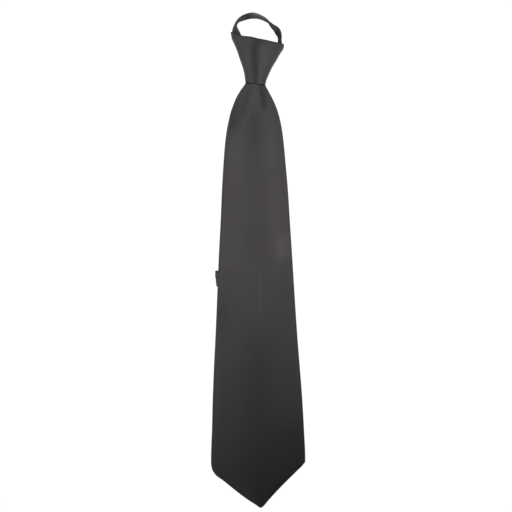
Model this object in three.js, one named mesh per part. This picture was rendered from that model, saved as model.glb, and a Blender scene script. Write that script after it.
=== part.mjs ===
// A pre-tied necktie with a zipped neck loop, lying face up on a flat surface.
// Units are millimetres. +Y runs from the tip to the neck loop, +Z points up from the surface.
// The origin is under the middle of the whole tie, on the surface.
import * as THREE from 'three';

// Driving sizes of the cloth and the zip
const frontWall = 1.7;
const flapWall = 1.2;
const seamGap = 0.5;
const hemWidth = 13;
const knotWall = 1.4;
const strapWidth = 8.4;
const strapThickness = 1.7;
const chainWidth = 2.6;
const chainThickness = 1.8;
const bandSpacing = 5.8;
const tuckedSpacing = 5.1;

// Edges of the front blade, from the stretch inside the knot down to the tip
const bladeEdges = [
  { y: 180, left: -9.4, right: 4 },
  { y: 170.6, left: -9.9, right: 4.4 },
  { y: 169.2, left: -11.6, right: 4.7 },
  { y: 168.2, left: -12.7, right: 4.9 },
  { y: 167.4, left: -13.3, right: 6.7 },
  { y: 166.4, left: -13.9, right: 7.2 },
  { y: 164.5, left: -15.4, right: 8.3 },
  { y: 160.7, left: -17.9, right: 10.4 },
  { y: 156.9, left: -20.2, right: 12.5 },
  { y: 153, left: -22, right: 14.4 },
  { y: 149.2, left: -23.5, right: 16.2 },
  { y: 141.5, left: -26.2, right: 19 },
  { y: 133.9, left: -28, right: 21 },
  { y: 124.3, left: -29.9, right: 22.8 },
  { y: 109.9, left: -31.7, right: 24.6 },
  { y: 95.5, left: -32.8, right: 25.9 },
  { y: 66.8, left: -34.5, right: 28.4 },
  { y: 38, left: -35.7, right: 30.2 },
  { y: 9.2, left: -37.2, right: 32.1 },
  { y: -19.5, left: -38.4, right: 33.9 },
  { y: -48.3, left: -39.6, right: 35.7 },
  { y: -77, left: -40.9, right: 37.7 },
  { y: -105.8, left: -42.3, right: 40 },
  { y: -134.5, left: -43.4, right: 42.2 },
  { y: -163.3, left: -44.1, right: 43.8 },
  { y: -190.1, left: -45, right: 45 },
  { y: -193.5, left: -45, right: 44.9 },
  { y: -195.9, left: -44.9, right: 43.1 },
  { y: -201.6, left: -43.6, right: 37.3 },
  { y: -204.5, left: -41.6, right: 34.4 },
  { y: -207.4, left: -38.9, right: 31.5 },
  { y: -210.2, left: -34.8, right: 28.6 },
  { y: -221.7, left: -20.4, right: 17.3 },
  { y: -230.4, left: -8.7, right: 9.4 },
  { y: -236.1, left: 0.1, right: 4.5 },
  { y: -237.4, left: 1.7, right: 2.9 },
];

// Height of the blade's rolled edges, the crown above them, and how flat that crown is
const bladeBody = [
  { y: 180, edge: 2.3, crown: 1.9, flatness: 2 },
  { y: 168, edge: 2.4, crown: 1.9, flatness: 2.2 },
  { y: 150, edge: 3.3, crown: 1.5, flatness: 3 },
  { y: 130, edge: 3.6, crown: 1, flatness: 4.5 },
  { y: 100, edge: 3.6, crown: 0.9, flatness: 6 },
  { y: -237.4, edge: 3.4, crown: 0.9, flatness: 6 },
];

// Half of the gap between the back flaps: a closed seam, then the inverted V above the tip
const flapOpening = [
  { y: 180, half: seamGap },
  { y: -150, half: seamGap },
  { y: -172, half: 8 },
  { y: -198, half: 44 - hemWidth },
  { y: -207, half: 36 - hemWidth },
  { y: -226, half: seamGap },
  { y: -237.4, half: seamGap },
];

// Folds pressed into the blade where it leaves the knot: a middle ridge and a crease on each side
const neckFolds = [
  { x: -5.4, slope: 0.1, width: 5.6, height: 0.9, from: 122, full: 154, until: 162 },
  { x: 5.6, slope: -0.1, width: 2.6, height: -0.7, from: 138, full: 150, until: 162 },
  { x: -14.6, slope: 0.33, width: 4.6, height: -1.1, from: 112, full: 150, until: 162 },
];
const foldFade = 6;

// Middle line of the zipped tail under the blade, and how high the blade has to clear it
const tailLine = [
  { y: -26, x: -28.1, blade: 3.3 },
  { y: -10, x: -27.6, blade: 3.2 },
  { y: 0, x: -27.2, blade: 2.5 },
  { y: 38, x: -22.7, blade: 2.5 },
  { y: 86, x: -14, blade: 2.5 },
  { y: 134, x: -6.4, blade: 2.7 },
  { y: 156, x: -3.4, blade: 4.6 },
  { y: 168, x: -2.7, blade: 5.4 },
  { y: 180, x: -2.1, blade: 5.8 },
];
const tailHalfWidth = 10.6;

// The flaps follow the tail closely, and the stiffer front eases over it
const drapeReach = 26;
const drapeEndReach = 34;
const frontReach = 62;
const frontEndReach = 110;

// The cover over the tail's lower end: a block, a waist, and two lobes on each side below it
const tabMiddle = -27.9;
const tabTop = -10.9;
const tabBottom = -26;
const tabHeight = 2.8;
const tabSide = 13.1;
const tabCorner = 0.9;
const tabBevel = 0.5;
const tabWaist = { start: -16.6, middle: -17.6, end: -18.2, depth: 1 };
const tabLobes = [
  { y: -20.9, inset: 0.4, radius: 1.4 },
  { y: -24.1, inset: 0.8, radius: 1.3 },
];
const bandRise = [
  { y: -26, z: 0.85, spacing: bandSpacing },
  { y: 130, z: 0.85, spacing: bandSpacing },
  { y: 156, z: 2.05, spacing: bandSpacing },
  { y: 166, z: 2.05, spacing: 5.7 },
  { y: 172, z: 2.6, spacing: tuckedSpacing },
];

// Side edges of the knot, each from the bottom corner to the top corner
const knotLeft = [
  { y: 170.5, x: -12.2 },
  { y: 172.6, x: -12.6 },
  { y: 177.9, x: -13.2 },
  { y: 183.7, x: -14.6 },
  { y: 191.4, x: -17.2 },
  { y: 199, x: -19.6 },
  { y: 205.8, x: -22.2 },
  { y: 213.4, x: -25 },
  { y: 218.2, x: -26.2 },
];
const knotRight = [
  { y: 168, x: 7 },
  { y: 172.2, x: 8 },
  { y: 176, x: 9.5 },
  { y: 183.7, x: 13 },
  { y: 191.4, x: 17.4 },
  { y: 199, x: 21.5 },
  { y: 202.9, x: 24 },
  { y: 204.8, x: 24.6 },
  { y: 206.6, x: 24.4 },
];

// The knot's section from its bottom (0) to its top (1): height, squareness, share of the back left open
const knotSections = [
  { up: 0, height: 14.2, square: 3, open: 0.992 },
  { up: 0.07, height: 14.4, square: 3, open: 0.992 },
  { up: 0.28, height: 15, square: 3.3, open: 0.992 },
  { up: 0.45, height: 16, square: 3.7, open: 0.72 },
  { up: 0.6, height: 16.7, square: 4, open: 0.3 },
  { up: 0.72, height: 17.2, square: 4.2, open: 0 },
  { up: 0.93, height: 17.6, square: 4.4, open: 0 },
  { up: 1, height: 17, square: 4.5, open: 0 },
];
const knotRows = [0, 0.035, 0.08, 0.14, 0.21, 0.28, 0.37, 0.45, 0.53, 0.6, 0.66, 0.72, 0.8, 0.88, 0.95, 1];
const knotFrontSteps = 18;
const knotBackSteps = 6;
const knotTopBow = -0.1;
const knotBackDrop = 3;
const rimDip = { across: 0.2, width: 0.13, depth: 1.1 };
const dimple = { x: -3.2, shift: 0.6, width: 2.6, spread: 1.2, depth: 1.1 };

// The strap's middle line from the knot's lower mouth, round the loop and back.
// Tilt is the turn of its width from flat (0) to on edge (-90) and past it, with the outer edge going down.
const loopLine = [
  { x: -7.4, y: 174, z: 2.9, tilt: -10 },
  { x: -7.2, y: 181, z: 3.7, tilt: -12 },
  { x: -9.7, y: 190, z: 5.8, tilt: -16 },
  { x: -13.1, y: 199, z: 8.2, tilt: -24 },
  { x: -16.4, y: 207, z: 10.9, tilt: -34 },
  { x: -18.9, y: 213, z: 11.9, tilt: -40 },
  { x: -20.7, y: 216.8, z: 11.7, tilt: -40 },
  { x: -21.8, y: 219.4, z: 11, tilt: -44 },
  { x: -22.1, y: 222.2, z: 10, tilt: -65 },
  { x: -21.6, y: 224.9, z: 8.9, tilt: -79 },
  { x: -20.1, y: 227.8, z: 7.8, tilt: -84 },
  { x: -17.8, y: 230.2, z: 6.9, tilt: -77 },
  { x: -14, y: 232.6, z: 6, tilt: -67 },
  { x: -9.7, y: 234, z: 5.3, tilt: -55 },
  { x: -5.1, y: 234.5, z: 4.9, tilt: -51 },
  { x: -0.8, y: 234, z: 4.8, tilt: -61 },
  { x: 2.9, y: 232.7, z: 5, tilt: -68 },
  { x: 6.2, y: 230.9, z: 5.5, tilt: -77 },
  { x: 9.1, y: 228.7, z: 6.1, tilt: -89 },
  { x: 11.6, y: 226.5, z: 6.8, tilt: -102 },
  { x: 14, y: 224.2, z: 7.6, tilt: -111 },
  { x: 16.4, y: 221.9, z: 8.3, tilt: -121 },
  { x: 18.4, y: 219.3, z: 8.9, tilt: -129 },
  { x: 19.7, y: 216.9, z: 9.4, tilt: -123 },
  { x: 20.5, y: 214.2, z: 9.5, tilt: -113 },
  { x: 20.6, y: 210.8, z: 9.4, tilt: -105 },
  { x: 20.1, y: 207.2, z: 9.1, tilt: -102 },
  { x: 17.9, y: 203.2, z: 8.7, tilt: -90 },
  { x: 14, y: 199, z: 7.8, tilt: -62 },
  { x: 9.8, y: 194, z: 6.5, tilt: -38 },
  { x: 5.8, y: 188, z: 4.9, tilt: -20 },
  { x: 3.5, y: 181, z: 3.5, tilt: -12 },
  { x: 2.8, y: 174, z: 2.9, tilt: -10 },
];
const loopStep = 2.4;
const tailStep = 10;
const tailTop = 166;
const tailEnd = tabTop + 0.6;
const chainTop = 157.7;
const chainLift = 0.1;

// The zip slider: two plates joined by a middle web that stands between the bands
const sliderTop = 4.1;
const sliderPlate = 0.8;
const sliderWeb = 0.9;
const sliderSections = [
  { y: 158, side: 2.7 },
  { y: 158.7, side: 3.3 },
  { y: 161, side: 3.6 },
  { y: 164.6, side: 4.4 },
  { y: 165.7, side: 4.2 },
  { y: 166.2, side: 3.6 },
];

// Dark grey twill, black nylon zip and its painted slider
const clothFinish = { color: '#4a484d', roughness: 0.62, metalness: 0 };
const zipFinish = { color: '#1c1b1d', roughness: 0.5, metalness: 0 };
const sliderFinish = { color: '#2a2a2c', roughness: 0.4, metalness: 0.6 };

// Smooth value of one column of a table between its rows, without overshoot
function smoothColumn(rows, key, column) {
  const sorted = [...rows].sort((a, b) => a[key] - b[key]);
  const at = sorted.map((row) => row[key]);
  const value = sorted.map((row) => row[column]);
  const rise = at.slice(1).map((next, i) => (value[i + 1] - value[i]) / (next - at[i]));
  const slope = value.map((_, i) => {
    const before = rise[Math.max(i - 1, 0)];
    const after = rise[Math.min(i, rise.length - 1)];
    return before * after > 0 ? (2 * before * after) / (before + after) : 0;
  });
  return (where) => {
    const inside = THREE.MathUtils.clamp(where, at[0], at[at.length - 1]);
    let i = at.findIndex((next) => next >= inside) - 1;
    i = Math.max(i, 0);
    const span = at[i + 1] - at[i];
    const s = (inside - at[i]) / span;
    const rest = 1 - s;
    return value[i] * (1 + 2 * s) * rest * rest + value[i + 1] * (3 - 2 * s) * s * s
      + span * (slope[i] * s * rest * rest - slope[i + 1] * s * s * rest);
  };
}

function smoothColumns(rows, key) {
  const names = Object.keys(rows[0]).filter((name) => name !== key);
  return Object.fromEntries(names.map((name) => [name, smoothColumn(rows, key, name)]));
}

// A smooth bump of height 1 at the middle
function bell(where, middle, width) {
  return Math.exp(-(((where - middle) / width) ** 2));
}

// Closed skin over a row of rings, each the same closed outline of points, with both ends capped
function skin(rings) {
  const size = rings[0].length;
  const faces = [];
  for (let i = 0; i + 1 < rings.length; i += 1) {
    for (let j = 0; j < size; j += 1) {
      const next = (j + 1) % size;
      const a = i * size + j;
      const b = i * size + next;
      faces.push([a, b, b + size], [a, b + size, a + size]);
    }
  }
  const flat = (ring) => ring.map((point) => new THREE.Vector2(point.x, point.z));
  const cap = (ring, offset, forward) => {
    const outline = flat(ring);
    const turn = Math.sign(THREE.ShapeUtils.area(outline)) * (forward ? 1 : -1);
    for (const [a, b, c] of THREE.ShapeUtils.triangulateShape(outline, [])) {
      const ahead = Math.sign(THREE.ShapeUtils.area([outline[a], outline[b], outline[c]])) === turn;
      faces.push(ahead ? [a + offset, b + offset, c + offset] : [c + offset, b + offset, a + offset]);
    }
  };
  cap(rings[0], 0, false);
  cap(rings[rings.length - 1], (rings.length - 1) * size, true);
  const points = rings.flat();
  const volume = faces.reduce((sum, [a, b, c]) => (
    sum + points[a].dot(new THREE.Vector3().crossVectors(points[b], points[c]))
  ), 0);
  const index = faces.flatMap((face) => (volume > 0 ? face : [...face].reverse()));
  const geometry = new THREE.BufferGeometry().setFromPoints(points);
  geometry.setIndex(index);
  geometry.computeVertexNormals();
  return geometry;
}

// Rows of a table with further rows between them, so that no step is longer than the limit
function stations(rows, limit) {
  const keys = rows.map((row) => row.y);
  return keys.flatMap((y, i) => {
    if (i === 0) return [y];
    const count = Math.ceil(Math.abs(y - keys[i - 1]) / limit);
    return Array.from({ length: count }, (_, k) => THREE.MathUtils.lerp(keys[i - 1], y, (k + 1) / count));
  });
}

const edgeAt = smoothColumns(bladeEdges, 'y');
const bodyAt = smoothColumns(bladeBody, 'y');
const openingAt = smoothColumn(flapOpening, 'y', 'half');
const tailAt = smoothColumns(tailLine, 'y');
const bandAt = smoothColumns(bandRise, 'y');
const knotLeftX = smoothColumn(knotLeft, 'y', 'x');
const knotRightX = smoothColumn(knotRight, 'y', 'x');
const knotAt = smoothColumns(knotSections, 'up');

// How far the blade is held off the surface by the zipped tail under it
function drape(x, y, reach = drapeReach, endReach = drapeEndReach) {
  const aside = Math.abs(x - tailAt.x(y)) - tailHalfWidth;
  const beyond = tabBottom - 2 - y;
  const sideways = 1 - THREE.MathUtils.smoothstep(aside, 0, reach);
  const lengthways = 1 - THREE.MathUtils.smoothstep(beyond, 0, endReach);
  return tailAt.blade(y) * sideways * lengthways;
}

function foldHeight(x, y) {
  return neckFolds.reduce((sum, fold) => {
    const middle = fold.x + fold.slope * (y - fold.full);
    const across = bell(x, middle, fold.width);
    const start = THREE.MathUtils.smoothstep(y, fold.from, fold.full);
    const end = 1 - THREE.MathUtils.smoothstep(y, fold.until - foldFade, fold.until + foldFade);
    return sum + fold.height * across * start * end;
  }, 0);
}

// Longest step along the blade, and the steps across its front and across each back flap
const bladeStep = 13;
const frontSteps = 8;
const flapSteps = 3;

// Shares of the blade's half width, and how its front eases down to the flaps at each edge
const rollShare = 0.35;
const narrowGapShare = 0.25;
const wideGapShare = 0.75;
const innerWallShare = 0.3;
const innerCorner = 1.5;
const leastHollow = 0.4;
const edgeEase = 6;

// One ring of the blade: cloth folded round both edges into an envelope, open along the back seam
function bladeRing(y) {
  const left = edgeAt.left(y);
  const right = edgeAt.right(y);
  const half = (right - left) / 2;
  const middle = (left + right) / 2;
  const edge = bodyAt.edge(y);
  const roll = Math.min(edge / 2, half * rollShare);
  const gap = Math.min(openingAt(y), half * narrowGapShare + Math.max(0, half - hemWidth) * wideGapShare);
  const top = (x) => {
    const share = Math.min(Math.abs(x - middle) / half, 1);
    const stiff = drape(x, y, frontReach, frontEndReach);
    const under = THREE.MathUtils.lerp(stiff, drape(x, y), share ** edgeEase);
    return under + edge + bodyAt.crown(y) * (1 - share ** bodyAt.flatness(y)) + foldHeight(x, y);
  };
  const at = (x, z) => new THREE.Vector3(x, y, z);
  const outerLeft = left + roll;
  const outerRight = right - roll;
  const corner = roll * (1 - Math.SQRT1_2);
  const side = (x, inwards) => [
    at(x + inwards * roll, drape(x + inwards * roll, y)),
    at(x + inwards * corner, drape(x, y) + corner),
    at(x, drape(x, y) + edge / 2),
    at(x + inwards * corner, drape(x, y) + edge - corner),
    at(x + inwards * roll, top(x + inwards * roll)),
  ];
  const between = (from, to, steps) => (
    Array.from({ length: steps - 1 }, (_, i) => THREE.MathUtils.lerp(from, to, (i + 1) / steps))
  );
  const leftFlap = [middle - gap, ...between(middle - gap, outerLeft, flapSteps)];
  const rightFlap = [middle + gap, ...between(middle + gap, outerRight, flapSteps)];
  const front = between(outerLeft, outerRight, frontSteps);
  const innerInset = Math.min(frontWall, half * innerWallShare);
  const innerSide = (x, inwards) => {
    const wall = x + inwards * innerInset;
    const corner = x + inwards * innerInset * innerCorner;
    return [
      at(corner, drape(corner, y) + flapWall),
      at(wall, drape(wall, y) + (flapWall + edge - frontWall) / 2),
      at(corner, Math.max(top(corner) - frontWall, drape(corner, y) + flapWall + leastHollow)),
    ];
  };
  const outer = [
    ...leftFlap.map((x) => at(x, drape(x, y))),
    ...side(left, 1),
    ...front.map((x) => at(x, top(x))),
    ...side(right, -1).reverse(),
    ...rightFlap.reverse().map((x) => at(x, drape(x, y))),
  ];
  const inner = [
    ...rightFlap.reverse().map((x) => at(x, drape(x, y) + flapWall)),
    ...innerSide(right, -1),
    ...[...front].reverse().map((x) => at(x, top(x) - frontWall)),
    ...innerSide(left, 1).reverse(),
    ...[...leftFlap].reverse().map((x) => at(x, drape(x, y) + flapWall)),
  ];
  return [...outer, ...inner];
}

function frontBlade() {
  const rings = stations(bladeEdges, bladeStep).map(bladeRing);
  return skin(rings);
}

// One ring of the knot: a flattened tube whose back flaps part towards its lower mouth
function knotRing(up) {
  const leftY = THREE.MathUtils.lerp(knotLeft[0].y, knotLeft[knotLeft.length - 1].y, up);
  const rightY = THREE.MathUtils.lerp(knotRight[0].y, knotRight[knotRight.length - 1].y, up);
  const left = knotLeftX(leftY);
  const right = knotRightX(rightY);
  const middle = (left + right) / 2;
  const halfWidth = (right - left) / 2;
  const height = knotAt.height(up);
  const power = knotAt.square(up);
  const dent = (x) => dimple.depth * bell(x, dimple.x + dimple.shift * up, dimple.width + dimple.spread * up);
  const loop = (inset) => {
    const a = halfWidth - inset;
    const b = height / 2 - inset;
    const openShare = Math.max(knotAt.open(up), seamGap / a);
    const openAngle = Math.asin(openShare);
    const place = (angle, forward) => {
      const share = Math.sin(angle);
      const x = middle + a * share;
      const rise = b * Math.max(0, 1 - Math.abs(share) ** power) ** (1 / power);
      const across = (x - left) / (right - left);
      const dip = forward > 0 ? dent(x) : 0;
      const z = height / 2 + forward * rise - dip;
      const corner = rimDip.depth * bell(across, rimDip.across, rimDip.width);
      const bow = knotTopBow * 4 * across * (1 - across) - corner;
      const drop = knotBackDrop * up ** 3 * (1 - z / height);
      return new THREE.Vector3(x, THREE.MathUtils.lerp(leftY, rightY, across) + bow * up - drop, z);
    };
    const quarter = Math.PI / 2;
    const points = [];
    for (let i = 0; i < knotBackSteps; i += 1) {
      points.push(place(-THREE.MathUtils.lerp(openAngle, quarter, i / knotBackSteps), -1));
    }
    for (let i = 0; i <= knotFrontSteps; i += 1) {
      points.push(place(THREE.MathUtils.lerp(-quarter, quarter, i / knotFrontSteps), 1));
    }
    for (let i = 1; i <= knotBackSteps; i += 1) {
      points.push(place(THREE.MathUtils.lerp(quarter, openAngle, i / knotBackSteps), -1));
    }
    return points;
  };
  return [...loop(0), ...loop(knotWall).reverse()];
}

function knot() {
  return skin(knotRows.map(knotRing));
}

// A point beside the tail's middle line: aside is the distance to its right
function besideTail(y, aside) {
  const slope = (tailAt.x(y + 1) - tailAt.x(y - 1)) / 2;
  const across = new THREE.Vector2(1, -slope).normalize();
  return new THREE.Vector2(tailAt.x(y) + aside * across.x, y + aside * across.y);
}

// One band of the tail, from its lower end up to the knot, left (-1) or right (1) of the zip
function tailRows(side) {
  const rows = stations([{ y: tailEnd }, { y: chainTop }, { y: tailTop }], tailStep);
  return rows.map((y) => {
    const place = besideTail(y, side * bandAt.spacing(y));
    return { x: place.x, y: place.y, z: bandAt.z(y), tilt: 0 };
  });
}

// Section of a flat band with rolled edges: shares of its half width and half thickness
const bandSection = [
  { across: -1, up: -0.4 },
  { across: -0.86, up: -1 },
  { across: 0.86, up: -1 },
  { across: 1, up: -0.4 },
  { across: 1, up: 0.4 },
  { across: 0.86, up: 1 },
  { across: -0.86, up: 1 },
  { across: -1, up: 0.4 },
];

function bandRing(centre, along, tilt, width, thickness) {
  const outward = new THREE.Vector3(-along.y, along.x, 0).normalize();
  const lean = THREE.MathUtils.degToRad(tilt);
  const across = outward.multiplyScalar(Math.cos(lean)).add(new THREE.Vector3(0, 0, Math.sin(lean)));
  across.addScaledVector(along, -across.dot(along)).normalize();
  const up = new THREE.Vector3().crossVectors(along, across);
  return bandSection.map((point) => centre.clone()
    .addScaledVector(across, (point.across * width) / 2)
    .addScaledVector(up, (point.up * thickness) / 2));
}

// The whole strap: left tail band, up through the knot, round the loop and down to the right tail band
function neckStrap() {
  const rows = [...tailRows(-1), ...loopLine, ...tailRows(1).reverse()];
  const points = rows.map((row) => new THREE.Vector3(row.x, row.y, row.z));
  const curve = new THREE.CatmullRomCurve3(points, false, 'centripetal');
  const firstLoop = tailRows(-1).length;
  const rings = [];
  for (let i = 0; i + 1 < rows.length; i += 1) {
    const inLoop = i >= firstLoop - 1 && i < firstLoop + loopLine.length;
    const gap = curve.points[i].distanceTo(curve.points[i + 1]);
    const count = inLoop ? Math.ceil(gap / loopStep) : 1;
    for (let k = 0; k < count; k += 1) {
      const place = (i + k / count) / (rows.length - 1);
      const tilt = THREE.MathUtils.lerp(rows[i].tilt, rows[i + 1].tilt, k / count);
      rings.push(bandRing(curve.getPoint(place), curve.getTangent(place), tilt, strapWidth, strapThickness));
    }
  }
  rings.push(bandRing(curve.getPoint(1), curve.getTangent(1), 0, strapWidth, strapThickness));
  return skin(rings);
}

function zipperChain() {
  const rings = stations([{ y: tailEnd }, { y: chainTop }], tailStep).map((y) => {
    const place = besideTail(y, 0);
    const ahead = besideTail(y + 1, 0);
    const climb = bandAt.z(y + 1) - bandAt.z(y);
    const along = new THREE.Vector3(ahead.x - place.x, ahead.y - place.y, climb).normalize();
    const centre = new THREE.Vector3(place.x, place.y, Math.max(bandAt.z(y), chainThickness / 2 + chainLift));
    return bandRing(centre, along, 0, chainWidth, chainThickness);
  });
  return skin(rings);
}

function zipperSlider() {
  const rings = sliderSections.map(({ y, side }) => {
    const middle = tailAt.x(y);
    const half = [
      [side, 0],
      [side, sliderPlate],
      [sliderWeb, sliderPlate],
      [sliderWeb, sliderTop - sliderPlate],
      [side, sliderTop - sliderPlate],
      [side, sliderTop],
    ];
    const right = half.map(([x, z]) => new THREE.Vector3(middle + x, y, z));
    const left = half.map(([x, z]) => new THREE.Vector3(middle - x, y, z)).reverse();
    return [...right, ...left];
  });
  return skin(rings);
}

// The tail's cover is drawn from its upper left corner, across, down the right side and back up the left one
function tailTab() {
  const { start, middle: waist, end, depth } = tabWaist;
  const left = tabMiddle - tabSide;
  const right = tabMiddle + tabSide;
  const low = tabLobes[tabLobes.length - 1];
  const quarter = Math.PI / 2;
  const shape = new THREE.Shape();
  shape.moveTo(left + tabCorner, tabTop);
  shape.lineTo(right - tabCorner, tabTop);
  shape.quadraticCurveTo(right, tabTop, right, tabTop - tabCorner);
  shape.lineTo(right, start);
  shape.quadraticCurveTo(right, waist, right - depth, end);
  for (const { y, inset, radius } of tabLobes) {
    shape.absarc(right - inset - radius, y, radius, quarter, -quarter, true);
  }
  shape.lineTo(left + low.inset + low.radius, low.y - low.radius);
  for (const { y, inset, radius } of [...tabLobes].reverse()) {
    shape.absarc(left + inset + radius, y, radius, -quarter, -3 * quarter, true);
  }
  shape.lineTo(left + depth, end);
  shape.quadraticCurveTo(left, waist, left, start);
  shape.lineTo(left, tabTop - tabCorner);
  shape.quadraticCurveTo(left, tabTop, left + tabCorner, tabTop);
  const geometry = new THREE.ExtrudeGeometry(shape, {
    depth: tabHeight - 2 * tabBevel,
    bevelThickness: tabBevel,
    bevelSize: tabBevel,
    bevelOffset: -tabBevel,
    bevelSegments: 2,
    curveSegments: 4,
  });
  geometry.translate(0, 0, tabBevel);
  return geometry;
}

function named(name, geometry, finish) {
  const mesh = new THREE.Mesh(geometry, new THREE.MeshStandardMaterial(finish));
  mesh.name = name;
  return mesh;
}

const necktie = new THREE.Group();
necktie.add(
  named('front_blade', frontBlade(), clothFinish),
  named('knot', knot(), clothFinish),
  named('neck_strap', neckStrap(), clothFinish),
  named('zipper_chain', zipperChain(), zipFinish),
  named('zipper_slider', zipperSlider(), sliderFinish),
  named('tail_tab', tailTab(), clothFinish),
);

export default necktie;
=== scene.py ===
# A pre-tied necktie with a zipped neck loop, lying face up on a pale floor.
# Tables and lengths are in millimetres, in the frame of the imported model; meshes are made in metres.
import math

import bpy
import numpy as np
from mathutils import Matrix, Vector


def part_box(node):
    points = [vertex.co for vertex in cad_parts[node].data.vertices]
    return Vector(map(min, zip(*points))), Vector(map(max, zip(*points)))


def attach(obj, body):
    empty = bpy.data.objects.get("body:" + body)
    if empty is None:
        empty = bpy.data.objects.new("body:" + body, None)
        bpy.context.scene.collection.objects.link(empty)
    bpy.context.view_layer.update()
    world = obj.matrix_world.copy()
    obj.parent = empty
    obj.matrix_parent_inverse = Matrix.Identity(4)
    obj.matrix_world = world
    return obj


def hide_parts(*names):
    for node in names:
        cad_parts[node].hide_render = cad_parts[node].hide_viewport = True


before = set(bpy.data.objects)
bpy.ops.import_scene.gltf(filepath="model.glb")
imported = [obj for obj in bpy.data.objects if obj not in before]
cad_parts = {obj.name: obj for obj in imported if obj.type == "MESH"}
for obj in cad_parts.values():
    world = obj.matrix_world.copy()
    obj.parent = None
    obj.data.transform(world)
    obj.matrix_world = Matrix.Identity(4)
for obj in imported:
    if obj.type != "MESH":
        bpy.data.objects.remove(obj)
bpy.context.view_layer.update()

MM = 0.001


def box_mm(node):
    """Lowest and highest corner of a solid of the frame, in millimetres."""
    low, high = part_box(node)
    return np.array(low) / MM, np.array(high) / MM


class Table:
    """Rows of numbers with named columns, each read between rows as a smooth curve without overshoot."""

    def __init__(self, names, *rows):
        columns = np.array(sorted(rows), float).T
        self.key = columns[0]
        for name, values in zip(names.split()[1:], columns[1:]):
            setattr(self, name, self.curve(values))

    def curve(self, values):
        key = self.key
        span = np.diff(key)
        rise = np.diff(values) / span
        before = np.concatenate([rise[:1], rise])
        after = np.concatenate([rise, rise[-1:]])
        both = before * after
        slope = np.where(both > 0, 2 * both / np.where(both > 0, before + after, 1), 0)

        def read(where):
            inside = np.clip(np.asarray(where, float), key[0], key[-1])
            i = np.clip(np.searchsorted(key, inside, "right") - 1, 0, len(span) - 1)
            s = (inside - key[i]) / span[i]
            rest = 1 - s
            ends = values[i] * (1 + 2 * s) * rest**2 + values[i + 1] * (3 - 2 * s) * s**2
            return ends + span[i] * (slope[i] * s * rest**2 - slope[i + 1] * s**2 * rest)

        return read


def smooth(low, high, value):
    """0 below low, 1 above high, and a smooth step between them."""
    s = np.clip((np.asarray(value, float) - low) / (high - low), 0, 1)
    return s * s * (3 - 2 * s)


def hump(value, middle, width):
    """1 in the middle, falling off to both sides over about the width."""
    return np.exp(-(((value - middle) / width) ** 2))


# Driving sizes of the cloth and the zip, as in the solids
FRONT_WALL = 1.6
FLAP_WALL = 1.2
SEAM_GAP = 0.5
HEM_WIDTH = 13
KNOT_WALL = 1.35
STRAP_WIDTH = 8.4
STRAP_THICKNESS = 1.7
TAIL_HALF_WIDTH = 10.6
TAIL_LOW_END = -28
DRAPE_REACH = 26
DRAPE_END_REACH = 34
FRONT_REACH = 62
FRONT_END_REACH = 110

# The cloth's nap on the sides, and what it adds across on the slanted edges of the tip
NAP = 0.3
TIP_NAP = 0.48

# Outlines and sections along Y, as in the solids. Only the knot's two upper corners and the loop's rows
# differ from them a little: they follow the cloth more closely here.
BLADE = Table(
    "y left right",
    (180, -9.4, 4),
    (170.6, -9.9, 4.4),
    (169.2, -11.6, 4.7),
    (168.2, -12.7, 4.9),
    (167.4, -13.3, 6.7),
    (166.4, -13.9, 7.2),
    (164.5, -15.4, 8.3),
    (160.7, -17.9, 10.4),
    (156.9, -20.2, 12.5),
    (153, -22, 14.4),
    (149.2, -23.5, 16.2),
    (141.5, -26.2, 19),
    (133.9, -28, 21),
    (124.3, -29.9, 22.8),
    (109.9, -31.7, 24.6),
    (95.5, -32.8, 25.9),
    (66.8, -34.5, 28.4),
    (38, -35.7, 30.2),
    (9.2, -37.2, 32.1),
    (-19.5, -38.4, 33.9),
    (-48.3, -39.6, 35.7),
    (-77, -40.9, 37.7),
    (-105.8, -42.3, 40),
    (-134.5, -43.4, 42.2),
    (-163.3, -44.1, 43.8),
    (-190.1, -45, 45),
    (-193.5, -45, 44.9),
    (-195.9, -44.9, 43.1),
    (-201.6, -43.6, 37.3),
    (-204.5, -41.6, 34.4),
    (-207.4, -38.9, 31.5),
    (-210.2, -34.8, 28.6),
    (-221.7, -20.4, 17.3),
    (-230.4, -8.7, 9.4),
    (-236.1, 0.1, 4.5),
    (-237.4, 1.7, 2.9),
)
BLADE_BODY = Table(
    "y edge crown flatness",
    (180, 2.3, 1.9, 2),
    (168, 2.4, 1.9, 2.2),
    (150, 3.3, 1.5, 3),
    (130, 3.6, 1, 4.5),
    (100, 3.6, 0.9, 6),
    (-237.4, 3.4, 0.9, 6),
)
FLAP_OPENING = Table(
    "y half",
    (180, SEAM_GAP),
    (-150, SEAM_GAP),
    (-172, 8),
    (-198, 44 - HEM_WIDTH),
    (-207, 36 - HEM_WIDTH),
    (-226, SEAM_GAP),
    (-237.4, SEAM_GAP),
)
TAIL = Table(
    "y x blade",
    (-26, -28.1, 3.3),
    (-10, -27.6, 3.2),
    (0, -27.2, 2.5),
    (38, -22.7, 2.5),
    (86, -14, 2.5),
    (134, -6.4, 2.7),
    (156, -3.4, 4.6),
    (168, -2.7, 5.4),
    (180, -2.1, 5.8),
)
BAND = Table(
    "y z spacing",
    (-26, 0.85, 5.8),
    (130, 0.85, 5.8),
    (156, 2.05, 5.8),
    (166, 2.05, 5.7),
    (172, 2.6, 5.1),
)
KNOT_LEFT = Table(
    "y x",
    (170.5, -12.2),
    (172.6, -12.6),
    (177.9, -13.2),
    (183.7, -14.6),
    (191.4, -17.2),
    (199, -19.6),
    (205.8, -22.2),
    (213.4, -25.4),
    (218.2, -26.3),
)
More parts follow.
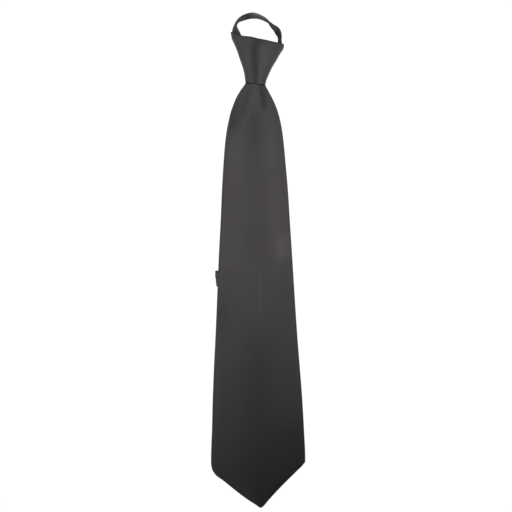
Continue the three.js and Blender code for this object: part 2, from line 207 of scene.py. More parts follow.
KNOT_RIGHT = Table(
    "y x",
    (168, 7),
    (172.2, 8),
    (176, 9.5),
    (183.7, 13),
    (191.4, 17.4),
    (199, 21.5),
    (202.9, 24),
    (204.8, 24.75),
    (206.6, 24.9),
)
KNOT = Table(
    "up height square open",
    (0, 14.2, 3, 0.992),
    (0.07, 14.4, 3, 0.992),
    (0.28, 15, 3.3, 0.992),
    (0.45, 16, 3.7, 0.72),
    (0.6, 16.7, 4, 0.3),
    (0.72, 17.2, 4.2, 0),
    (0.93, 17.6, 4.4, 0),
    (1, 17, 4.5, 0),
)
# The loop's middle line: x, y, z and the tilt of the strap's width. It is flat at 0 and on edge at -90.
LOOP = np.array(
    [
        (-7.4, 174, 2.9, -10),
        (-7.2, 181, 3.7, -12),
        (-9.7, 190, 5.8, -16),
        (-13.1, 199, 8.2, -24),
        (-16.4, 207, 10.9, -34),
        (-18.9, 213, 11.9, -40),
        (-20.7, 216.8, 11.7, -40),
        (-21.95, 219.4, 11, -47),
        (-22.35, 222.2, 10, -69),
        (-21.75, 224.9, 8.9, -81),
        (-20.1, 227.8, 7.8, -80),
        (-17.65, 230.05, 6.9, -68),
        (-13.9, 232.25, 6, -54.5),
        (-9.7, 233.85, 5.3, -50),
        (-5.1, 234.5, 4.9, -47),
        (-0.8, 233.95, 4.8, -57.5),
        (2.9, 232.6, 5, -65),
        (6.2, 230.95, 5.5, -72),
        (9.1, 228.7, 6.1, -80),
        (11.45, 226.3, 6.8, -97),
        (13.75, 223.9, 7.6, -105),
        (16.3, 221.8, 8.3, -118),
        (18.4, 219.3, 8.9, -129),
        (19.7, 216.9, 9.4, -123),
        (20.5, 214.2, 9.5, -113),
        (20.7, 210.8, 9.4, -107),
        (20.6, 207.2, 9.1, -113),
        (17.9, 203.2, 8.7, -90),
        (14, 199, 7.8, -62),
        (9.8, 194, 6.5, -38),
        (5.8, 188, 4.9, -20),
        (3.5, 181, 3.5, -12),
        (2.8, 174, 2.9, -10),
    ]
)


class Field:
    """A value that varies over a surface. Arithmetic on it adds Math nodes to its finish."""

    def __init__(self, finish, socket):
        self.finish = finish
        self.socket = socket

    def math(self, operation, *values):
        return self.finish.node("ShaderNodeMath", {"operation": operation}, dict(enumerate(values)))

    def __add__(self, other):
        return self.math("ADD", self, other)

    def __radd__(self, other):
        return self.math("ADD", other, self)

    def __sub__(self, other):
        return self.math("SUBTRACT", self, other)

    def __rsub__(self, other):
        return self.math("SUBTRACT", other, self)

    def __mul__(self, other):
        return self.math("MULTIPLY", self, other)

    def __rmul__(self, other):
        return self.math("MULTIPLY", other, self)

    def sine(self):
        return self.math("SINE", self)

    def clamped(self, highest=1.0, lowest=0.0):
        return self.math("MAXIMUM", self.math("MINIMUM", self, highest), lowest)


class Finish:
    """A material: its shader, set from plain numbers, and the one method that adds any other node."""

    def __init__(self, name, colour, roughness):
        self.material = bpy.data.materials.new(name)
        self.material.use_nodes = True
        self.material.diffuse_color = (*colour, 1)
        self.tree = self.material.node_tree
        self.shader = self.tree.nodes["Principled BSDF"]
        self.feed({"Base Color": (*colour, 1), "Roughness": roughness})

    def put(self, socket, value):
        if isinstance(value, Field):
            self.tree.links.new(value.socket, socket)
        else:
            socket.default_value = value

    def feed(self, values):
        for name, value in values.items():
            self.put(self.shader.inputs[name], value)

    def node(self, kind, settings, inputs, output=0):
        node = self.tree.nodes.new(kind)
        for name, value in settings.items():
            setattr(node, name, value)
        for name, value in inputs.items():
            self.put(node.inputs[name], value)
        return Field(self, node.outputs[output])

    def cloth_place(self):
        """Millimetres across and along the cloth, from its own map."""
        place = self.node("ShaderNodeUVMap", {"uv_map": "cloth"}, {})
        across = self.node("ShaderNodeSeparateXYZ", {}, {0: place}, "X")
        along = self.node("ShaderNodeSeparateXYZ", {}, {0: place}, "Y")
        return across, along

    def field(self, name):
        return self.node("ShaderNodeAttribute", {"attribute_name": name}, {}, "Fac")

    def vector(self, x, y, z=0.0):
        return self.node("ShaderNodeCombineXYZ", {}, {0: x, 1: y, 2: z})

    def noise(self, place, scale, detail=2.0, roughness=0.5):
        inputs = {"Vector": place, "Scale": scale, "Detail": detail, "Roughness": roughness}
        return self.node("ShaderNodeTexNoise", {}, inputs)

    def mix(self, factor, first, second):
        settings = {"data_type": "RGBA", "clamp_factor": False}
        inputs = {0: factor, 6: (*first, 1), 7: (*second, 1)}
        return self.node("ShaderNodeMix", settings, inputs, 2)

    def bump(self, height, distance, strength=1.0):
        inputs = {"Height": height, "Distance": distance, "Strength": strength}
        return self.node("ShaderNodeBump", {}, inputs)


# How far the ribs lean, and how far the yarns across them lean and how much closer they lie
RIB_LEAN = 0.9
YARN_LEAN = 0.35
YARN_CLOSENESS = 1.9
# What rib, yarn, slub and the painted light and shade each add to the cloth's tone, and how low and how
# high it may go
RIB_TONE = 0.4
YARN_TONE = 0.18
SLUB_TONE = 0.24
PAINTED_SHADING_TONE = 0.5
BASE_TONE = 0.05
TONE_LOW = -0.85
TONE_HIGH = 2.4
HUE_SPREAD = 1.8
VIOLET_TINT = (1.03, 0.92, 0.89, 1)
SHEEN_TINT = (0.9, 0.88, 1.0, 1)


def twill(name, dark, light, roughness, pitch, relief, sheen, gloss):
    """Charcoal twill: fine diagonal ribs crossed by yarns, with painted light and shade from each piece's
    field, and slow changes of roughness from pressing.
    """
    finish = Finish(name, dark, roughness)
    across, along = finish.cloth_place()
    turn = 2 * math.pi / pitch
    rib = ((across + along * RIB_LEAN) * turn).sine() * 0.5 + 0.5
    yarn = ((across * YARN_LEAN - along) * (turn * YARN_CLOSENESS)).sine() * 0.5 + 0.5
    slub = finish.noise(finish.vector(across * 0.9, along * 0.25), 1.1, 3.0)
    pressed = finish.noise(finish.vector(across * 0.02, along * 0.012), 1.0, 2.0)
    hues = finish.noise(finish.vector(across * 0.055, along * 0.04, 7.0), 1.0, 1.0)
    violet = (finish.field("violet") + (hues - 0.5) * HUE_SPREAD).clamped()
    # Painted light and shade: each piece's field lightens or darkens the cloth's tone where light or shade
    # falls on it
    painted_shading = finish.field("painted_shading")
    tone = rib * RIB_TONE + yarn * YARN_TONE + slub * SLUB_TONE + painted_shading * PAINTED_SHADING_TONE + BASE_TONE
    tinted = {"data_type": "RGBA", "blend_type": "MULTIPLY"}
    tint = {0: violet, 6: finish.mix(tone.clamped(TONE_HIGH, TONE_LOW), dark, light), 7: VIOLET_TINT}
    finish.feed(
        {
            "Base Color": finish.node("ShaderNodeMix", tinted, tint, 2),
            "Roughness": rib * -0.06 + pressed * 0.16 + (roughness - 0.05),
            "Sheen Weight": sheen,
            "Sheen Roughness": 0.45,
            "Sheen Tint": SHEEN_TINT,
            "Specular IOR Level": gloss,
            "Normal": finish.bump(rib * 0.7 + yarn * 0.3 + slub * 0.35, relief * MM, 0.8),
        }
    )
    return finish.material


def nylon(name, colour, roughness):
    """Moulded nylon: nearly even, with a faint rub and fine moulding grain."""
    finish = Finish(name, colour, roughness)
    place = finish.node("ShaderNodeTexCoord", {}, {}, "Object")
    grain = finish.noise(place, 900.0, 2.0)
    worn = tuple(min(1, c * 1.7) for c in colour)
    finish.feed(
        {
            "Base Color": finish.mix(grain, colour, worn),
            "Roughness": grain * 0.2 + (roughness - 0.1),
            "Normal": finish.bump(grain, 0.02 * MM, 0.5),
        }
    )
    return finish.material


def painted(name, colour, bare):
    """Black paint on die-cast metal, rubbed to dull metal on its outer edges."""
    finish = Finish(name, colour, 0.36)
    place = finish.node("ShaderNodeTexCoord", {}, {}, "Object")
    bulge = finish.node("ShaderNodeNewGeometry", {}, {}, "Pointiness")
    scuffs = finish.noise(place, 700.0, 3.0)
    rubbed = ((bulge - 0.53) * 9.0 + (scuffs - 0.55) * 1.2).clamped()
    finish.feed(
        {
            "Base Color": finish.mix(rubbed, colour, bare),
            "Metallic": rubbed * 0.85,
            "Roughness": scuffs * 0.2 + 0.28,
            "Normal": finish.bump(scuffs, 0.015 * MM, 0.4),
        }
    )
    return finish.material


CLOTH_DARK = (0.0435, 0.0428, 0.0468)
TIE_LIGHT = (0.082, 0.0806, 0.0885)
STRAP_LIGHT = (0.138, 0.136, 0.158)
NYLON_BLACK = (0.011, 0.011, 0.012)
PAINT_BLACK = (0.014, 0.014, 0.015)
BARE_METAL = (0.3, 0.3, 0.3)
THREAD_BLACK = (0.02, 0.019, 0.021)

TIE_CLOTH = twill("tie_cloth", CLOTH_DARK, TIE_LIGHT, 0.6, 0.85, 0.05, sheen=0.15, gloss=0.2)
STRAP_CLOTH = twill("strap_cloth", CLOTH_DARK, STRAP_LIGHT, 0.56, 1.0, 0.06, sheen=0.0, gloss=0.04)
ZIP_TEETH = nylon("zip_teeth", NYLON_BLACK, 0.42)
ZIP_SLIDER = painted("zip_slider", PAINT_BLACK, BARE_METAL)
THREAD = nylon("sewing_thread", THREAD_BLACK, 0.6)


def mesh_piece(name, points, faces, material, corners=None, fields=None):
    """A piece from points in millimetres, with a cloth map for face corners and fields for points."""
    mesh = bpy.data.meshes.new(name)
    mesh.from_pydata((np.asarray(points) * MM).tolist(), [], np.asarray(faces).tolist())
    if corners is not None:
        layer = mesh.uv_layers.new(name="cloth")
        layer.data.foreach_set("uv", np.asarray(corners, float).ravel())
    for field, values in (fields or {}).items():
        mesh.attributes.new(field, "FLOAT", "POINT").data.foreach_set("value", np.ravel(values))
    mesh.materials.append(material)
    mesh.shade_smooth()
    mesh.validate()
    piece = bpy.data.objects.new(name, mesh)
    bpy.context.collection.objects.link(piece)
    return piece


def lengths(points, axis):
    """Distance run along an axis of a grid of points, from its start."""
    steps = np.linalg.norm(np.diff(points, axis=axis), axis=-1)
    zero = np.zeros_like(np.take(steps, [0], axis=axis))
    return np.concatenate([zero, np.cumsum(steps, axis=axis)], axis=axis)


def skin(name, rings, material, fields=None, flat_map=False):
    """A closed skin over rings of points, one row for each ring, with strips of faces over both ends.

    Its cloth map is laid out by the lengths round and along it, or flat from above.
    """
    rows, columns = rings.shape[:2]
    index = np.arange(rows * columns).reshape(rows, columns)
    closed = np.concatenate([index, index[:, :1]], axis=1)
    around = lengths(np.concatenate([rings, rings[:, :1]], axis=1), 1)
    around = around - around[:, -1:] / 4
    along = lengths(rings.mean(axis=1), 0)
    place = np.stack([around, np.repeat(along[:, None], columns + 1, axis=1)], axis=-1)
    if flat_map:
        place = np.concatenate([rings, rings[:, :1]], axis=1)[:, :, :2]

    def quads(grid):
        return np.stack([grid[:-1, :-1], grid[:-1, 1:], grid[1:, 1:], grid[1:, :-1]], axis=2)

    sides = quads(closed).reshape(-1, 4)
    maps = quads(place).reshape(-1, 2)
    faces, corners = [sides], [maps]
    half = columns // 2
    for row, turn in ((0, -1), (rows - 1, 1)):
        strip = np.stack([np.arange(half), columns - 1 - np.arange(half)], axis=1)
        loop = np.stack([strip[:-1, 0], strip[1:, 0], strip[1:, 1], strip[:-1, 1]], axis=1)[:, ::turn]
        faces.append(index[row][loop])
        corners.append(place[row][loop].reshape(-1, 2))
    faces = np.concatenate(faces)
    corners = np.concatenate(corners)
    points = rings.reshape(-1, 3)
    a, b, c, d = (points[faces[:, i]] for i in range(4))
    volume = (a * np.cross(b, c) + a * np.cross(c, d)).sum()
    if volume < 0:
        faces = faces[:, ::-1]
        corners = corners.reshape(-1, 4, 2)[:, ::-1].reshape(-1, 2)
    return mesh_piece(name, points, faces, material, corners, fields)


def drape(x, y, reach=DRAPE_REACH, end_reach=DRAPE_END_REACH):
    """How far the blade is held off the floor by the zipped tail under it."""
    aside = np.abs(x - TAIL.x(y)) - TAIL_HALF_WIDTH
    beyond = TAIL_LOW_END - y
    return TAIL.blade(y) * (1 - smooth(0, reach, aside)) * (1 - smooth(0, end_reach, beyond))


# Ridges and valleys at the blade's neck: where each runs, its width and height, and its start and end
NECK_FOLDS = [
    {"x": -5.4, "slope": 0.1, "width": 5.6, "height": 0.9, "from": 122, "full": 154, "until": 168},
    {"x": 5.6, "slope": -0.1, "width": 2.6, "height": -0.7, "from": 138, "full": 150, "until": 168},
    {"x": -14.6, "slope": 0.33, "width": 4.6, "height": -1.1, "from": 112, "full": 150, "until": 166},
]
FOLD_FADE = 6


def neck_folds(x, y):
    total = 0
    for fold in NECK_FOLDS:
        middle = fold["x"] + fold["slope"] * (y - fold["full"])
        start = smooth(fold["from"], fold["full"], y)
        end = 1 - smooth(fold["until"] - FOLD_FADE, fold["until"] + FOLD_FADE, y)
        total = total + fold["height"] * hump(x, middle, fold["width"]) * start * end
    return total


def blade_relief(x, y):
    """The low waves that pressing leaves in the front, all under half a millimetre."""
    press_line = 0.14 * hump(x, -0.8, 1.3) * smooth(-86, -66, y) * (1 - smooth(-10, 14, y))
    swell = 0.3 * hump(x, 23, 7) * hump(y, 5, 16)
    waves = 0.07 * np.sin(x / 9 + y / 31) * np.sin(y / 23 - x / 40) * smooth(-230, -200, y)
    return press_line + swell + waves * (1 - smooth(130, 150, y))


def blade_tone(x, y, share):
    """Painted light and shade on the front, and where its dye leans to violet.

    Each mark is a strength times where it lies: across the blade by x or by the share of the half width,
    and along it by y.
    """
    upper = smooth(-30, 30, y) * (1 - smooth(100, 150, y))
    lower = 1 - smooth(-95, -45, y)
    foot = 1 - smooth(-175, -140, y)

    # Painted sheen lightens the sides, less so on the left; a painted highlight runs along the rolled
    # rims, and a painted glow lies on the right
    left_side = 0.4 * smooth(0.3, 0.8, -share) * hump(y, 55, 22)
    sides = 0.3 * smooth(0.15, 0.75, np.abs(share)) * upper - left_side
    rims = 0.4 * hump(np.abs(share), 0.93, 0.05)
    painted_glow = 1.3 * hump(x, 24.5, 7.5) * smooth(-2, 7, y) * (1 - smooth(12, 33, y))

    # Painted shade in the neck's crease, hollow, gathered middle and left shoulder, and a painted
    # highlight along the ridge between them
    crease_x = 5.3 + 0.12 * (155 - y)
    crease = -1.6 * hump(x, crease_x, 2.7) * smooth(140, 150, y) * (1 - smooth(160, 172, y))
    hollow_x = -13.5 + 0.36 * (y - 160)
    hollow = -0.8 * hump(x, hollow_x, 5.5) * smooth(112, 136, y) * (1 - smooth(150, 164, y))
    ridge_x = -7.3 + 0.2 * (y - 155)
    ridge = 0.4 * hump(x, ridge_x, 3) * smooth(122, 132, y) * (1 - smooth(152, 166, y))
    gathered = -1.0 * hump(x, -4, 9) * smooth(85, 120, y) * (1 - smooth(130, 156, y))
    shoulder = -0.5 * hump(x, -24, 4) * hump(y, 131, 9)

    # Painted shade down the middle, the press line lighter, and painted light that falls off from the
    # lower left towards the lower middle and the tip's right
    middle = -0.4 * hump(share, 0, 0.45) * smooth(-40, 10, y) * (1 - smooth(85, 115, y))
    press_line = 0.4 * hump(x, 0.9, 1.5) * smooth(-60, -50, y) * (1 - smooth(-14, -6, y))
    slant = -0.75 * np.minimum(share, 0) * lower - 0.45 * hump(share, 0, 0.4) * lower
    slant = slant - 0.9 * np.maximum(share, 0) * foot

    painted_shading = sides + rims + painted_glow + crease + hollow + ridge + gathered + shoulder
    painted_shading = painted_shading + middle + press_line + slant
    violet = smooth(-75, -5, y) * (1 - smooth(80, 125, y)) - 0.2
    return {"painted_shading": painted_shading, "violet": violet}


def wall_rings(outer, inner, cut):
    """Rings round a cloth wall from its outer and inner side. A middle point rounds each cut end."""
    towards = cut * np.array([1, 0, 0])
    left_end = (outer[:, :1] + inner[:, :1]) / 2 + towards
    right_end = (outer[:, -1:] + inner[:, -1:]) / 2 - towards
    rings = np.concatenate([left_end, outer, right_end, inner[:, ::-1]], axis=1)
    return np.roll(rings, -1, axis=1)


# Runs of rows down the blade: the first, the last and how many
BLADE_ROWS = [(180, 120, 80), (119, -186, 170), (-187, -237.4, 90)]
FLAP_COLUMNS = 15
ROLL_COLUMNS = 11
FRONT_COLUMNS = 67
BLADE_CUT_EDGE = 0.3
EDGE_HOLD = 6


def blade():
    """Cloth folded round both edges and closed along the back: the front, rolled edges and two flaps."""
    y = np.concatenate([np.linspace(*run) for run in BLADE_ROWS])[:, None]
    left = BLADE.left(y) - NAP - TIP_NAP * (1 - smooth(-208, -201, y))
    right = BLADE.right(y) + NAP + TIP_NAP * (1 - smooth(-198, -194.5, y))
    half, middle = (right - left) / 2, (right + left) / 2
    edge, crown, flatness = BLADE_BODY.edge(y), BLADE_BODY.crown(y), BLADE_BODY.flatness(y)
    roll = np.minimum(edge / 2, half * 0.35)
    gap = np.minimum(FLAP_OPENING.half(y), half * 0.25 + np.maximum(0, half - HEM_WIDTH) * 0.75)

    def top(x):
        share = np.clip(np.abs(x - middle) / half, 0, 1)
        near_edge = share**EDGE_HOLD
        eased = drape(x, y, FRONT_REACH, FRONT_END_REACH) * (1 - near_edge) + drape(x, y) * near_edge
        return eased + edge + crown * (1 - share**flatness) + neck_folds(x, y) + blade_relief(x, y)

    def flap(end, side):
        share = np.linspace(0, 1, FLAP_COLUMNS)[None, :-1]
        x = (middle + side * gap) * (1 - share) + (end - side * roll) * share
        wall = np.ones_like(x) * np.minimum(FLAP_WALL, edge * 0.33)
        return x, drape(x, y), np.zeros_like(x), wall

    def rolled(end, side):
        angle = np.linspace(-90, 90, ROLL_COLUMNS)[None, :] * math.pi / 180
        x = end - side * roll + side * roll * np.cos(angle)
        floor = drape(x, y)
        over = np.where(angle > 0, top(x) - floor - edge / 2, edge / 2)
        wall = np.minimum(FRONT_WALL, roll * 0.85)
        z = floor + edge / 2 + over * np.sin(angle)
        return x, z, -side * wall * np.cos(angle), -wall * np.sin(angle)

    share = np.linspace(0, 1, FRONT_COLUMNS)[None, 1:-1]
    x = (left + roll) * (1 - share) + (right - roll) * share
    front = x, top(x), np.zeros_like(x), -np.ones_like(x) * np.minimum(FRONT_WALL, edge * 0.45)
    parts = [flap(left, -1), rolled(left, -1), front]
    parts += [tuple(a[:, ::-1] for a in rolled(right, 1)), tuple(a[:, ::-1] for a in flap(right, 1))]
    x, z, inwards_x, inwards_z = (np.concatenate([part[i] for part in parts], axis=1) for i in range(4))
    rows = np.broadcast_to(y, x.shape)
    outer = np.stack([x, rows, z], axis=-1)
    inner = outer + np.stack([inwards_x, 0 * x, inwards_z], axis=-1)
    rings = wall_rings(outer, inner, BLADE_CUT_EDGE)
    share = (rings[:, :, 0] - middle) / half
    return skin("front_blade_cloth", rings, TIE_CLOTH, blade_tone(rings[:, :, 0], rings[:, :, 1], share))


# The knot's mesh: its rows, and its columns over the front and over each back flap
KNOT_ROWS = 130
KNOT_FRONT = 90
KNOT_BACK = 26
# Half the gap of its back seam, the shape of its upper mouth, and how much lower its back ends
KNOT_SEAM = 0.12
KNOT_CUT_EDGE = 0.06
KNOT_TOP_BOW = -0.1
KNOT_CORNER_DIP = 1.1
KNOT_CORNER_LIFT = 1.0
KNOT_BACK_DROP = 3
CORNER_REACH = 0.04


def dimple_x(up):
    """Where the dimple runs, by the share of the knot's height."""
    return -2.6 - 1.3 * hump(up, 0.6, 0.3) + 2.4 * smooth(0.85, 1, up)


def knot_relief(x, y, up):
    """The dimple's valley, the pulled fold near the right corner, low gathers and the rolled top rim."""
    valley = -1.1 * hump(x, dimple_x(up), 3 + 1.2 * up)
    pull_x = 15.6 + (y - 204) * 0.62
    pull = 0.35 * hump(x, pull_x, 1.3) * smooth(0.72, 0.88, up)
    gathers = 0.06 * np.sin(x * 1.5 + up * 3) * (1 - smooth(0.05, 0.45, up))
    groove = -0.07 * hump(up, 0.95, 0.012)
    return valley + pull + gathers + groove


def knot_tone(x, y, up, share):
    """Painted shade in the dimple, painted shadow at the upper mouth's corners and where the strap enters,
    and painted sheen on the slopes beside the dimple.
    """
    dimple = -1.5 * hump(x, dimple_x(up), 2.4 + 1.1 * up) * (1 - 0.4 * smooth(0.8, 1, up))
    right_slope = 0.65 * hump(share, 0.36, 0.22) * (1 - 0.8 * smooth(0.72, 0.9, up))
    slopes = 0.35 * smooth(0.35, 0.8, -share) + right_slope + 0.7 * smooth(0.76, 0.95, share)
    left_corner = -2.8 * hump(x, -25, 1.6) * hump(y, 217.9, 1)
    right_corner = -2.4 * hump(x, 23.5, 1.1) * hump(y, 206.5, 0.9)
    entry = -1.6 * hump(x, 18.9, 1.3) * hump(y, 208.2, 0.9)
    return {"painted_shading": dimple + slopes + left_corner + right_corner + entry, "violet": 0 * x - 0.45}


def knot():
    """A flattened tapered tube of cloth whose back flaps part towards the lower mouth."""
    up = np.linspace(0, 1, KNOT_ROWS)[:, None]
    left_y = KNOT_LEFT.key[0] + up * np.ptp(KNOT_LEFT.key)
    right_y = KNOT_RIGHT.key[0] + up * np.ptp(KNOT_RIGHT.key)
    left, right = KNOT_LEFT.x(left_y), KNOT_RIGHT.x(right_y)
    middle, half = (left + right) / 2, (right - left) / 2
    height, power, opened = KNOT.height(up), KNOT.square(up), KNOT.open(up)
    quarter = math.pi / 2

    def loop(inset):
        a, b = half - inset, height / 2 - inset
        seam = np.arcsin(np.maximum(opened, KNOT_SEAM / a))
        back = np.linspace(0, 1, KNOT_BACK, endpoint=False)[None, :]
        rise_left = -(seam + (quarter - seam) * back)
        over = np.linspace(-quarter, quarter, KNOT_FRONT)[None, :]
        over = np.broadcast_to(over, (KNOT_ROWS, KNOT_FRONT))
        angle = np.concatenate([rise_left, over, -rise_left[:, ::-1]], axis=1)
        backward = -np.ones(KNOT_BACK)
        forward = np.concatenate([backward, np.ones(KNOT_FRONT), backward])[None, :]
        share = np.sin(angle)
        x = middle + a * share
        rise = b * np.maximum(0, 1 - np.abs(share) ** power) ** (1 / power)
        across = (x - left) / (right - left)
        bow = KNOT_TOP_BOW * 4 * across * (1 - across)
        corners = hump(across, 0, CORNER_REACH) + 0.5 * hump(across, 1, CORNER_REACH)
        y = left_y + (right_y - left_y) * across
        y = y + up * (bow - KNOT_CORNER_DIP * hump(across, 0.2, 0.13))
        y = y + KNOT_CORNER_LIFT * up**6 * corners
        dip = np.where(forward > 0, knot_relief(x, y, up) * smooth(0, 0.5, rise / b), 0)
        z = height / 2 + forward * rise + dip
        return np.stack([x, y - KNOT_BACK_DROP * up**3 * (1 - z / height), z], axis=-1)

    rings = wall_rings(loop(0), loop(KNOT_WALL), KNOT_CUT_EDGE)
    x, y = rings[:, :, 0], rings[:, :, 1]
    return skin("knot_cloth", rings, TIE_CLOTH, knot_tone(x, y, up, (x - middle) / half))


def between(first, second, start, stop, s):
    """The value at s on the straight run from first at start to second at stop."""
    return (stop - s) / (stop - start) * first + (s - start) / (stop - start) * second


def through(points, step):
    """Centripetal curve through points with any number of columns, at about the given step."""
    ends = np.concatenate([[2 * points[0] - points[1]], points, [2 * points[-1] - points[-2]]])
    result = []
    for i in range(1, len(ends) - 2):
        p = ends[i - 1 : i + 3]
        gaps = np.linalg.norm(np.diff(p[:, :3], axis=0), axis=1)
        t = np.concatenate([[0], np.cumsum(gaps**0.5)])
        count = max(2, int(np.linalg.norm(p[2, :3] - p[1, :3]) / step))
        s = np.linspace(t[1], t[2], count, endpoint=False)[:, None]
        a = [between(p[k], p[k + 1], t[k], t[k + 1], s) for k in range(3)]
        b = [between(a[k], a[k + 1], t[k], t[k + 2], s) for k in range(2)]
        result.append(between(b[0], b[1], t[1], t[2], s))
    return np.concatenate(result + [points[-1:]])


def beside_tail(y, aside):
    """Points beside the tail's middle line, at a distance to its right."""
    slope = (TAIL.x(y + 1) - TAIL.x(y - 1)) / 2
    run = np.hypot(1, slope)
    return TAIL.x(y) + aside / run, y - aside * slope / run


TAB_LOW, TAB_HIGH = box_mm("tail_tab")
TAB_TOP = TAB_HIGH[1] + 1
TAIL_END = TAB_TOP - 2.4
TAIL_HIGH_END = 166


def tail_rows(side):
    """Rows for the middle line of one tail band, from inside its cover up to the slider's top."""
    y = np.linspace(TAIL_END, TAIL_HIGH_END, 30)
    x, along = beside_tail(y, side * BAND.spacing(y))
    return np.stack([x, along, BAND.z(y), 0 * y], axis=1)


def strap_line(step):
    """The strap's middle line with its tilt, from the left tail band round the loop to the right one."""
    return through(np.concatenate([tail_rows(-1), LOOP, tail_rows(1)[::-1]]), step)


def strap_frames(line):
    """The middle, the direction along, across and out of the strap at each place on its line."""
    middle = line[:, :3]
    along = np.gradient(middle, axis=0)
    along /= np.linalg.norm(along, axis=1, keepdims=True)
    outward = np.stack([-along[:, 1], along[:, 0], 0 * along[:, 0]], axis=1)
    outward /= np.linalg.norm(outward, axis=1, keepdims=True)
    lean = np.radians(line[:, 3:])
    across = outward * np.cos(lean) + np.array([0, 0, 1]) * np.sin(lean)
    across -= (across * along).sum(axis=1, keepdims=True) * along
    across /= np.linalg.norm(across, axis=1, keepdims=True)
    return middle, along, across, np.cross(along, across)


def band_section(count, roll):
    """A flat section with round edges: shares of half the width and half the thickness."""
    angle = np.linspace(-90, 90, roll) * math.pi / 180
    flat = np.linspace(-1, 1, count)[1:-1]
    round_share = STRAP_THICKNESS / STRAP_WIDTH
    right = np.stack([1 - round_share + round_share * np.cos(angle), np.sin(angle)], axis=1)
    top = np.stack([flat[::-1] * (1 - round_share), 1 + 0 * flat], axis=1)
    left = -right
    bottom = np.stack([flat * (1 - round_share), -1 + 0 * flat], axis=1)
    return np.concatenate([right, top, left, bottom])


def strap_tone(x, y, across):
    """Shade on the steep inner face of the loop's right leg and in its left bend, and a lit top."""
    looped = smooth(212, 218, y)
    face = smooth(-0.88, -0.72, across)
    right = smooth(16, 18, x)
    leg = -1.15 * face * right * smooth(200, 204, y) * (1 - smooth(219, 224, y))
    rim = -0.9 * (1 - face) * right * hump(y, 213.5, 4)
    twist = -0.6 * hump(x, 11, 5) * smooth(219, 222, y)
    bend = -0.8 * hump(x, -9.8, 2.4) * smooth(226, 230, y)
    inner = -0.9 * hump(x, -4, 6) * looped * (1 - smooth(-0.95, -0.6, across))
    outer = 0.9 * hump(x, 0, 6) * looped + 2.4 * hump(x, 0.5, 7) * looped * smooth(-0.3, 0.4, across)
    return {"painted_shading": leg + rim + twist + bend + inner + outer, "violet": -0.8 * looped}


STRAP_STEP = 0.8
STRAP_FLAT_POINTS = 17
STRAP_ROLL_POINTS = 9
STRAP_DISH = 0.1
STRAP_GROOVE = 0.22
LOOP_PADDING = 0.28


def neck_strap():
    """The sewn band: dished a little between its edges, grooved on one side, and thicker in the loop."""
    line = strap_line(STRAP_STEP)
    middle, along, across, out = strap_frames(line)
    section = band_section(STRAP_FLAT_POINTS, STRAP_ROLL_POINTS)
    side, face = section[:, 0], section[:, 1]
    width = side * STRAP_WIDTH / 2
    groove = STRAP_GROOVE * hump(side, -0.3, 0.05) * (face < 0)
    dished = 1 - STRAP_DISH * (1 - side**2) - groove
    padded = 1 + LOOP_PADDING * smooth(214, 220, line[:, 1])[:, None, None]
    thick = face * STRAP_THICKNESS / 2 * dished
    rings = middle[:, None] + across[:, None] * width[None, :, None]
    rings = rings + out[:, None] * thick[None, :, None] * padded
    x, y = rings[:, :, 0], rings[:, :, 1]
    return skin("neck_strap_cloth", rings, STRAP_CLOTH, strap_tone(x, y, side))


def copies(name, points, faces, places, material):
    """One mesh of many copies of a small shape. Each place is a 3 by 3 turn and a middle."""
    points = np.asarray(points, float)
    faces = np.asarray(faces)
    all_points = np.concatenate([points @ turn.T + middle for turn, middle in places])
    all_faces = np.concatenate([faces + i * len(points) for i in range(len(places))])
    return mesh_piece(name, all_points, all_faces, material)


def bead(length, width, height, rings=6, sides=8, power=2.6):
    """A small rounded rod along X: its points and its four-cornered faces."""
    share = np.linspace(-1, 1, rings + 2)[1:-1]
    size = (1 - np.abs(share) ** power) ** (1 / power)
    angle = np.linspace(0, 2 * math.pi, sides, endpoint=False)
    x = np.repeat(share[:, None] * length / 2, sides, axis=1)
    y = size[:, None] * np.cos(angle) * width / 2
    z = size[:, None] * np.sin(angle) * height / 2
    points = np.stack([x, y, z], axis=-1).reshape(-1, 3)
    faces = []
    for i in range(rings - 1):
        for j in range(sides):
            k = (j + 1) % sides
            faces.append((i * sides + j, i * sides + k, (i + 1) * sides + k, (i + 1) * sides + j))
    for j in range(sides // 2 - 1):
        faces.append((j + 1, j, sides - 1 - j, sides - 2 - j))
        last = (rings - 1) * sides
        faces.append((last + j, last + j + 1, last + sides - 2 - j, last + sides - 1 - j))
    return points, [face[::-1] for face in faces]


def turned(along, up=(0, 0, 1)):
    """The turn that lays X along a direction, with Z near another."""
    x = np.asarray(along, float)
    x = x / np.linalg.norm(x)
    y = np.cross(up, x)
    y /= np.linalg.norm(y)
    return np.stack([x, y, np.cross(x, y)], axis=1)


TOOTH_PITCH = 0.62
TOOTH_SIZE = (2.0, 0.6, 1.7)
TOOTH_ASIDE = 0.33
TOOTH_LOWEST = 1.0
CHAIN_TOP = 157.5
# Where the parted rows of teeth start and end along Y, how far aside they lie at most, and how far they
# stand out of the strap
PARTED_FROM = 167
PARTED_TO = 192
PARTED_ASIDE = 12
PARTED_REACH = 0.25


